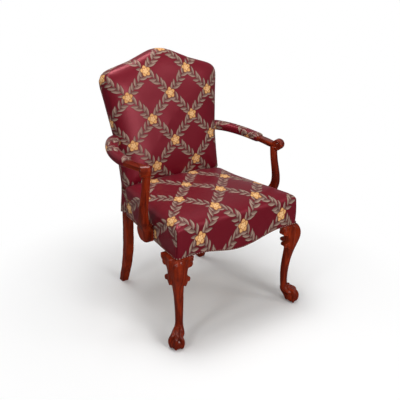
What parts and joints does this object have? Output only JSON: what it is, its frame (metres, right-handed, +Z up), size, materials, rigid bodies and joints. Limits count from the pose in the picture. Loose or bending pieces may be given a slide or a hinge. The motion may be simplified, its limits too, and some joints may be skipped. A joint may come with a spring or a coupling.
{
  "type": "open armchair",
  "caption": "Open armchair with a camel-hump upholstered back, stuffed seat, padded arms on shaped supports and carved cabriole legs on ball-and-claw feet.",
  "frame": {"origin": "on the floor, in the middle of the chair from side to side and from front to back", "axes": "+Z up, the chair faces -Y, +X at the sitter's left hand"},
  "size_m": [0.6918, 0.6448, 1.0139],
  "materials": {
    "mahogany": "polished",
    "frame_wood": "sawn",
    "damask": "satin weave",
    "stuffing": "felted",
    "webbing": "coarse weave",
    "lining": "plain weave",
    "steel": "plain"
  },
  "bodies": {
    "root": {"arm_cover_left": "damask", "arm_cover_right": "damask", "arm_left": "mahogany", "arm_padding_left": "stuffing", "arm_padding_right": "stuffing", "arm_right": "mahogany", "arm_support_left": "mahogany", "arm_support_right": "mahogany", "arm_support_screws": "steel", "back_foam": "stuffing", "back_lining": "lining", "back_stay_rail": "frame_wood", "corner_block_screws": "steel", "crest_rail": "frame_wood", "front_corner_block_left": "frame_wood", "front_corner_block_right": "frame_wood", "front_knee_ear_left": "mahogany", "front_knee_ear_right": "mahogany", "front_leg_left": "mahogany", "front_leg_right": "mahogany", "front_seat_rail": "frame_wood", "inside_back_cover": "damask", "outside_back_cover": "damask", "rear_corner_block_left": "frame_wood", "rear_corner_block_right": "frame_wood", "rear_post_cover_left": "damask", "rear_post_cover_right": "damask", "rear_post_left": "mahogany", "rear_post_right": "mahogany", "rear_seat_rail": "frame_wood", "seat_cover": "damask", "seat_foam": "stuffing", "seat_lining": "lining", "seat_webbing_cross": "webbing", "seat_webbing_long": "webbing", "side_knee_ear_left": "mahogany", "side_knee_ear_right": "mahogany", "side_seat_rail_left": "frame_wood", "side_seat_rail_right": "frame_wood"}
  },
  "joints": []
}
